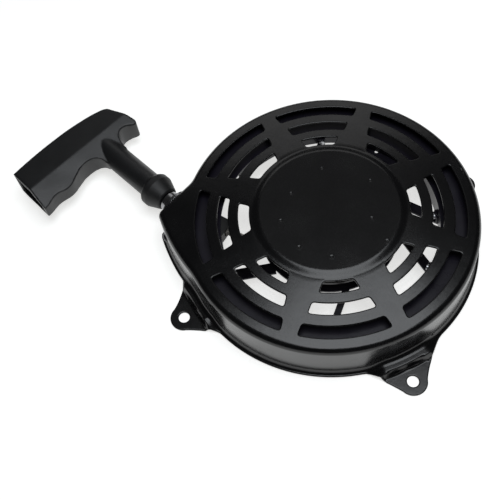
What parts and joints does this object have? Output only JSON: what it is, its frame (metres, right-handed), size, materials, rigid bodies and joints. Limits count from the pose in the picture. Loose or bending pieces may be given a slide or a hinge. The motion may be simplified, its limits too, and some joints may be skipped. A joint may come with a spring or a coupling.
{
  "type": "recoil starter",
  "caption": "Pull starter for a small engine: round slotted pressed cover with a sprung rope reel, swing-out pawls, mounting ears and a T-shaped pull grip.",
  "frame": {"origin": "on the reel's axis, at the plane of the undersides of the mounting ears", "axes": "+Z out of the domed top, along the reel's axis; the rope leaves in the horizontal plane 126.5 degrees from +X towards +Y"},
  "size_m": [0.3112, 0.2401, 0.0397],
  "materials": {
    "cover": "gloss black enamel on pressed sheet steel",
    "inner_black": "satin black enamel",
    "zinc_steel": "zinc plated",
    "guide_plastic": "moulded, fine grain",
    "eyelet_nickel": "nickel plated, polished where the rope runs",
    "spring_steel": "blue-grey spring strip, oiled",
    "reel_plastic": "glass filled nylon",
    "bush_bronze": "sintered bronze",
    "rope_fabric": "braided polyester cord",
    "pawl_steel": "hardened, lightly oiled",
    "grip_plastic": "moulded, fine texture",
    "buffer_rubber": "moulded rubber"
  },
  "bodies": {
    "housing": {"cover": "cover", "post_plate": "inner_black", "centre_post": "zinc_steel", "baffle_ring": "inner_black", "guard_plate": "inner_black", "guard_rivets": "zinc_steel", "rope_guide": "guide_plastic", "eyelet_bracket": "zinc_steel", "nose_rivet": "inner_black", "rope_eyelet": "eyelet_nickel", "main_spring": "spring_steel", "spring_washer": "spring_steel", "flat_washer": "zinc_steel", "centre_screw": "zinc_steel"},
    "reel": {"reel": "reel_plastic", "hub_bush": "bush_bronze", "rope_coil": "rope_fabric", "reel_knot": "rope_fabric", "pawl_pins": "zinc_steel", "pawl_springs": "spring_steel"},
    "guide": {"guide_plate": "zinc_steel"},
    "pawl_1": {"pawl_1": "pawl_steel"},
    "pawl_2": {"pawl_2": "pawl_steel"},
    "grip": {"grip": "grip_plastic", "grip_buffer": "buffer_rubber", "grip_washer": "zinc_steel", "grip_knot": "rope_fabric", "rope_lead": "rope_fabric"}
  },
  "joints": [
    {"name": "grip_pull", "type": "slide", "parent": "housing", "child": "grip", "axis": [-0.5948, 0.8039, 0], "range_m": [0, 0.8], "stiffness_N_per_m": 20, "springref_m": -0.4, "deforming": ["rope_lead"]},
    {"name": "reel_spin", "type": "hinge", "parent": "housing", "child": "reel", "pos_m": [0, 0, 0.027], "axis": [0, 0, 1], "range_deg": [-1300, 0], "deforming": ["main_spring"]},
    {"name": "guide_turn", "type": "hinge", "parent": "reel", "child": "guide", "pos_m": [0, 0, 0.016], "axis": [0, 0, 1], "range_deg": [0, 20], "stiffness_Nm_per_rad": 0.05, "springref_deg": -11.46},
    {"name": "pawl_1_swing", "type": "hinge", "parent": "reel", "child": "pawl_1", "pos_m": [0.023, 0, 0.02], "axis": [0, 0, 1], "range_deg": [0, 25.5]},
    {"name": "pawl_2_swing", "type": "hinge", "parent": "reel", "child": "pawl_2", "pos_m": [-0.023, 0, 0.02], "axis": [0, 0, 1], "range_deg": [0, 25.5]}
  ],
  "couplings": [
    {"joint": "reel_spin", "follows": "grip_pull", "rad_per_m": -28},
    {"joint": "pawl_1_swing", "follows": "guide_turn", "ratio": 1.25},
    {"joint": "pawl_2_swing", "follows": "guide_turn", "ratio": 1.25}
  ]
}
